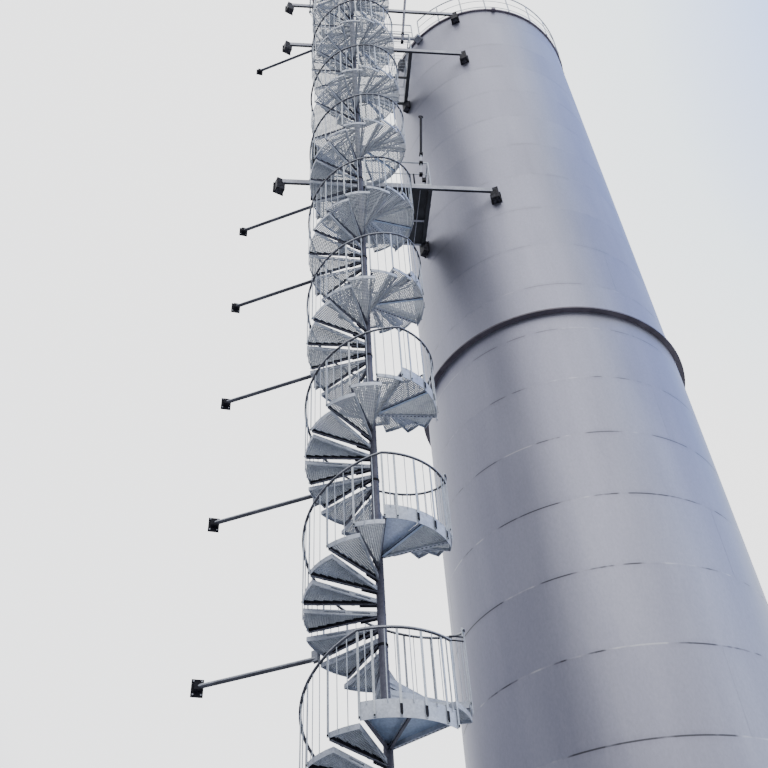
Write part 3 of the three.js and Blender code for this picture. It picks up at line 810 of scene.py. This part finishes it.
def wall_bracket(bm, centre, angle, reach, top, height=bracket_height, index=CHEEK):
    middle = top - height / 2
    cheek_at = turned_to(angle, bracket_root + (reach - bracket_root) / 2, middle, centre)
    cheek_aside = bracket_width / 2 - 0.008
    for aside in (-cheek_aside, cheek_aside):
        size = (reach - bracket_root, 0.016, height)
        box_at(bm, size, cheek_at @ shift(0, aside, 0), index)
    for outer, thick, more in ((2.984, 0.012, 0.06), (reach - 0.001, 0.010, -0.03)):
        end_plate = turned_to(angle, outer - thick / 2, middle, centre)
        box_at(bm, (thick, bracket_width + more, height), end_plate, index)
    for z in (0.006, height - 0.006):
        flat = turned_to(angle, (reach + 2.975) / 2, top - z, centre)
        box_at(bm, (reach - 2.975, bracket_width, 0.012), flat, index)
    for z in (0.04, height - 0.04):
        for aside in (-0.115, 0.115):
            bolt = turned_to(angle, 2.99, top - z, centre) @ shift(0, aside, 0) @ outward
            round_bar(bm, bolt, 0.014, 0.02, 6, index)


def bracket_pair(bm, deck, angle, reach, height=bracket_height, index=CHEEK):
    """The same bracket on the tank's wall and, mirrored, at the far end."""
    wall_bracket(bm, (0, 0), 180 + angle, reach, deck - 0.002, height, index)
    wall_bracket(bm, far_centre, -angle, reach, deck - 0.002, height, index)


def cross_beam(bm, deck):
    box_at(bm, (5.34, 0.052, 0.150), shift(deck_middle, -2.842, deck - 0.075))
    box_at(bm, (5.34, 0.012, 0.146), shift(deck_middle, deck_front, deck - 0.073), FACE)
    bracket_pair(bm, deck, *front_bracket)


def side_frame(bm, deck):
    for x, outer in ((-2.86, 0.052), (-4.96, -0.052)):
        box_at(bm, (0.1, 1.70, 0.134), shift(x, -1.97, deck - 0.078))
        for y in (-1.45, -2.35):
            box_at(bm, (0.014, 0.10, 0.06), shift(x + outer, y, deck - 0.10))
    bracket_pair(bm, deck, *side_bracket)


def deck_plate(bm, outline, low, high):
    face = bm.faces.new([bm.verts.new((x, y, low)) for x, y in outline])
    made = bmesh.ops.extrude_face_region(bm, geom=[face])["geom"]
    moved = [item for item in made if isinstance(item, bmesh.types.BMVert)]
    bmesh.ops.translate(bm, verts=moved, vec=(0, 0, high - low))


def arc_points(centre, radius, start, end):
    points = []
    for k in range(9):
        turn = math.radians(start + (end - start) * k / 8)
        points.append((centre[0] + radius * math.cos(turn), centre[1] + radius * math.sin(turn)))
    return points


def gangway_edge(first, last):
    return arc_points(stair_at, gangway_radius, last, first)


def gangway_seat(bm, angle, low, high):
    seat = stair_place(angle, (tread_radius + gangway_face) / 2 - 0.002, (low + high) / 2)
    for aside in (-0.082, 0.082):
        box_at(bm, (0.088, 0.010, high - low), seat @ shift(0, aside, 0))
    box_at(bm, (0.010, 0.18, high - low), seat @ shift(-0.038, 0, 0))


def deck_outline(exit_edge):
    left = exit_edge[0][0] - 0.08
    gangway = [(left, deck_corner), (left, exit_edge[0][1]), *exit_edge]
    return [*deck_behind, *gangway, (exit_edge[-1][0], deck_front)]


lower_exit = gangway_edge(115, 150)
bm = bmesh.new()
deck_plate(bm, deck_outline(lower_exit), lower_deck - 0.012, lower_deck)
for x in (-3.10, -3.34, -3.60, deck_middle, -4.22, -4.48, -4.72):
    box_at(bm, (0.012, 1.68, 0.05), shift(x, -1.96, lower_deck - 0.036), FACE)
for y in (-1.13, -1.86):
    box_at(bm, (2.02, 0.05, 0.008), shift(deck_middle, y, lower_deck - 0.066), FACE)
cross_beam(bm, lower_deck)
side_frame(bm, lower_deck)
gangway_seat(bm, 135 + half_facet, lower_deck - rise - 0.06, lower_deck - 0.012)
finish_piece("lower_deck", bm, deck_finishes, ["lower_platform"])

# Upper platform: a deck of open galvanised grating on two joists. Its gangway rests on a seat
# on the landing of the tenth storey.
upper_deck = 28.50
upper_exit = gangway_edge(93, 150)


def sides_of(outline):
    return zip(outline, outline[1:] + outline[:1])


def flat_between(bm, first, last, z, thickness, depth):
    """A flat on edge along the line from one point of a deck to the next."""
    (x0, y0), (x1, y1) = first, last
    along = Vector((x1 - x0, y1 - y0, 0))
    turn = Matrix.Rotation(math.atan2(along.y, along.x), 4, "Z")
    at = shift((x0 + x1) / 2, (y0 + y1) / 2, z) @ turn
    box_at(bm, (along.length, thickness, depth), at)


def crossings(outline, axis, place):
    """Where a line across the deck goes in and out of its outline."""
    found = []
    for pair in sides_of(outline):
        low, high = sorted(pair, key=lambda point: point[axis])
        if low[axis] <= place < high[axis]:
            share = (place - low[axis]) / (high[axis] - low[axis])
            found.append(low[1 - axis] + share * (high[1 - axis] - low[1 - axis]))
    found.sort()
    return zip(found[::2], found[1::2])


def open_grating(bm, outline, top):
    """Bearing bars along Y and cross rods along X, cut to the outline of the deck."""
    for axis, step, width, depth in ((0, 0.036, 0.0035, 0.022), (1, 0.1, 0.005, 0.007)):
        ends = [point[axis] for point in outline]
        place = min(ends) + step / 2
        while place < max(ends):
            for low, high in crossings(outline, axis, place):
                middle = (low + high) / 2
                size = (high - low, width, depth) if axis else (width, high - low, depth)
                spot = (middle, place) if axis else (place, middle)
                if high - low > 0.03:
                    box_at(bm, size, shift(*spot, top - depth / 2), GRATE)
            place += step
    for first, last in sides_of(outline):
        flat_between(bm, first, last, top - 0.0225, 0.008, 0.045)


bm = bmesh.new()
open_grating(bm, deck_outline(upper_exit), upper_deck)
for y in (-1.13, -1.98):
    box_at(bm, (2.0, 0.05, 0.07), shift(deck_middle, y, upper_deck - 0.060))
cross_beam(bm, upper_deck)
side_frame(bm, upper_deck)
gangway_seat(bm, 89 + half_facet, upper_deck - 0.08, upper_deck - 0.012)
finish_piece("upper_deck", bm, deck_finishes, ["upper_platform"])

# Top platform: open grating that leads from the last landing to the roof, cut to the curve of
# the rim, on a cross beam, one joist and low brackets.
top_deck = 31.35
top_exit = gangway_edge(112.5, 177)
rim_gap_radius, top_front = 3.088, -1.95
front_turn = math.degrees(math.asin(-top_front / rim_gap_radius))
back_turn = math.degrees(math.asin(1.0 / rim_gap_radius))
top_left, top_right = top_exit[0][0], top_exit[-1][0]
bm = bmesh.new()
open_grating(bm, [
    *arc_points((0.0, 0.0), rim_gap_radius, -180 + front_turn, -180 + back_turn),
    *arc_points(far_centre, rim_gap_radius, -back_turn, -front_turn),
    (-5.6, -2.15), (top_left - 0.08, -2.62), (top_left - 0.08, top_exit[0][1]),
    *top_exit, (top_right, top_front),
], top_deck)
cross_beam(bm, top_deck)
box_at(bm, (2.93, 0.08, 0.124), shift(deck_middle, -1.97, top_deck - 0.070), FACE)
bracket_pair(bm, top_deck, *side_bracket)
bracket_pair(bm, top_deck, 40, 3.184, 0.146, FACE)
gangway_seat(bm, 134 + half_facet, top_deck - 0.08, top_deck - 0.012)
finish_piece("top_deck_grating", bm, deck_finishes, ["top_platform"])

# Platform guard rails: tube posts with a top rail, a knee rail and a toe board, all welded. A
# slim mast with an eye at its tip is clamped to the rails of the lower and the upper platform.
guard_height, knee_height, guard_front = 1.1, 0.55, -2.834
MAST = 2
rail_behind = [
    (-2.84, guard_front), (-2.84, -1.967), (-2.84, -1.10), (deck_middle, -1.10),
    (-4.98, -1.10), (-4.98, -1.68), (-4.98, -2.34),
]


def guard_line(bm, path, deck):
    rail = deck + guard_height
    knee = deck + knee_height
    for (x, y) in path:
        straight_bar(bm, (x, y, deck), (x, y, rail), tube_radius, 10)
        round_bar(bm, shift(x, y, deck + 0.004), 0.045, 0.008, 12)
    for first, last in zip(path, path[1:]):
        straight_bar(bm, (*first, rail), (*last, rail), tube_radius, 10)
        bmesh.ops.create_uvsphere(
            bm, u_segments=10, v_segments=6, radius=tube_radius, matrix=shift(*last, rail)
        )
        straight_bar(bm, (*first, knee), (*last, knee), 0.014, 8)
        flat_between(bm, first, last, deck + 0.055, 0.005, 0.1)


def deck_rail(bm, exit_edge, deck, clear):
    left, right = exit_edge[0], exit_edge[-1]
    guard_line(bm, [
        (right[0] - 0.04, right[1] + clear), (right[0] - 0.04, guard_front),
        ((right[0] - 2.8) / 2, guard_front), *rail_behind,
        (left[0] - 0.04, -2.34), (left[0] - 0.04, -3.15), (left[0] - 0.04, left[1] + 0.02),
    ], deck)


def rail_mast(bm, foot, tip, lower, upper):
    """A mast of two tubes, each given by its radius and finish, clamped to a guard rail."""
    foot, tip = Vector(foot), Vector(tip)
    line = tip - foot
    straight_bar(bm, foot, foot + 0.36 * line, lower[0], 10, lower[1])
    straight_bar(bm, foot + 0.34 * line, tip, upper[0], 12, upper[1])
    clamps = [0.0, knee_height / line.z]
    if lower[1] != upper[1]:
        clamps.append(0.34)
    for share in clamps:
        box_at(bm, (0.09, 0.10, 0.07), Matrix.Translation(foot + line * share), FITTING)
    eye = Matrix.Translation(tip + Vector((0, 0, 0.055))) @ lying
    wire = bmesh.ops.create_circle(
        bm, cap_ends=False, segments=8, radius=0.016, matrix=eye @ shift(0.055, 0, 0) @ lying
    )
    before = set(bm.faces)
    edges = list({edge for vert in wire["verts"] for edge in vert.link_edges})
    spin_round(bm, wire["verts"], edges, 16, eye.translation, (0, 1, 0))
    for face in set(bm.faces) - before:
        face.material_index = FITTING


bm = bmesh.new()
deck_rail(bm, lower_exit, lower_deck, 0.035)
rail_mast(
    bm, (-3.05, guard_front, lower_deck + knee_height), (-2.84, guard_front, 24.35),
    (0.016, POST), (0.036, FITTING),
)
for x in (-3.34, -3.24):
    low, high = lower_deck + 0.1, lower_deck + knee_height
    straight_bar(bm, (x, guard_front, low), (x, guard_front, high), 0.022, 8, FITTING)
box_at(bm, (0.10, 0.06, 0.14), shift(-2.99, guard_front, lower_deck + 0.30), FITTING)
finish_piece(
    "lower_deck_rail", bm, [rail_zinc, dark_fitting_and_painted_shade], ["lower_platform_rail"]
)

bm = bmesh.new()
deck_rail(bm, upper_exit, upper_deck, 0.04)
rail_mast(
    bm, (-3.08, guard_front, upper_deck + knee_height), (-2.74, guard_front, 32.9),
    (0.036, MAST), (0.042, MAST),
)
finish_piece(
    "upper_deck_rail", bm, [rail_zinc, dark_fitting_and_painted_shade, column_zinc],
    ["upper_platform_rail"],
)

right_line, left_line = top_right - 0.04, top_left - 0.04
over_landing = stair_at[1] + 0.045
top_rails = {
    "right": [
        (right_line, top_exit[-1][1] + 0.04), (right_line, guard_front), (right_line, -1.91),
        ((right_line - 2.5) / 2, -1.91), (-2.5, -1.91),
    ],
    "back": [(-3.02, -1.04), (deck_middle, -1.04), (-4.80, -1.04)],
    "left": [
        (stair_at[0] - 0.16, over_landing), (stair_at[0] - 1.02, over_landing),
        (left_line, top_exit[0][1] + 0.04), (left_line, (top_exit[0][1] - 2.64) / 2),
        (left_line, -2.64), (-5.58, -2.19),
    ],
}
for side, path in top_rails.items():
    bm = bmesh.new()
    guard_line(bm, path, top_deck)
    finish_piece(
        f"top_deck_rail_{side}", bm, [rail_zinc, dark_fitting_and_painted_shade],
        [f"top_platform_rail_{side}"],
    )

# Struts: round galvanised tubes that stay the stair, each pinned between the cheeks of a lug
# on a tread's outer band. The far end of each is a plate with four bolts.
strut_zinc = galvanised("strut_zinc", (0.17, 0.18, 0.21), (0.30, 0.315, 0.35), 0.45)
STRUT, STRUT_PAINTED_SHADE = 0, 2
strut_far = Vector((-7.32, -2.98, 0))
plate_angle = math.degrees(math.atan2(strut_far.y, strut_far.x - far_centre[0]))
lug_angle = 135 + half_facet
lug_face = tread_radius * math.cos(math.radians(half_facet))
strut_levels = [(7.273, 39), (10.208, 53), (13.024, 67), (15.819, 81), (18.518, 95), (26.323, 136)]
for number, (level, count) in enumerate(strut_levels, 1):
    bm = bmesh.new()
    edge = count * rise
    low, high = min(edge - 0.06, level - 0.045), max(edge - 0.01, level + 0.045)
    middle, depth = (low + high) / 2, high - low
    for aside in (-0.027, 0.027):
        cheek = stair_place(lug_angle, lug_face + 0.056, middle) @ shift(0, aside, 0)
        box_at(bm, (0.108, 0.012, depth), cheek)
    box_at(bm, (0.012, 0.07, depth), stair_place(lug_angle, lug_face + 0.0065, middle))
    start = stair_place(lug_angle, lug_face + 0.05, level).translation
    straight_bar(bm, start, strut_far + Vector((0, 0, level)), 0.036, 24)
    pin = stair_place(lug_angle, lug_face + 0.08, level) @ lying
    round_bar(bm, pin, 0.014, 0.08, 8)
    for radius, size in ((2.978, (0.014, 0.18, 0.28)), (3.022, (0.09, 0.10, 0.11))):
        box_at(bm, size, turned_to(plate_angle, radius, level, far_centre), FITTING)
    for z in (-0.105, 0.105):
        for aside in (-0.06, 0.06):
            corner = turned_to(plate_angle, 2.992, level + z, far_centre) @ shift(0, aside, 0)
            round_bar(bm, corner @ outward, 0.014, 0.022, 6)
    # The underside of the strut is given painted shade, as the handrails' are
    paint_shade_under(bm, STRUT, STRUT_PAINTED_SHADE, -0.2)
    finish_piece(
        f"strut_tube_{number}", bm, [strut_zinc, dark_fitting_and_painted_shade, tube_underside_painted_shade],
        [f"strut_{number}"],
    )
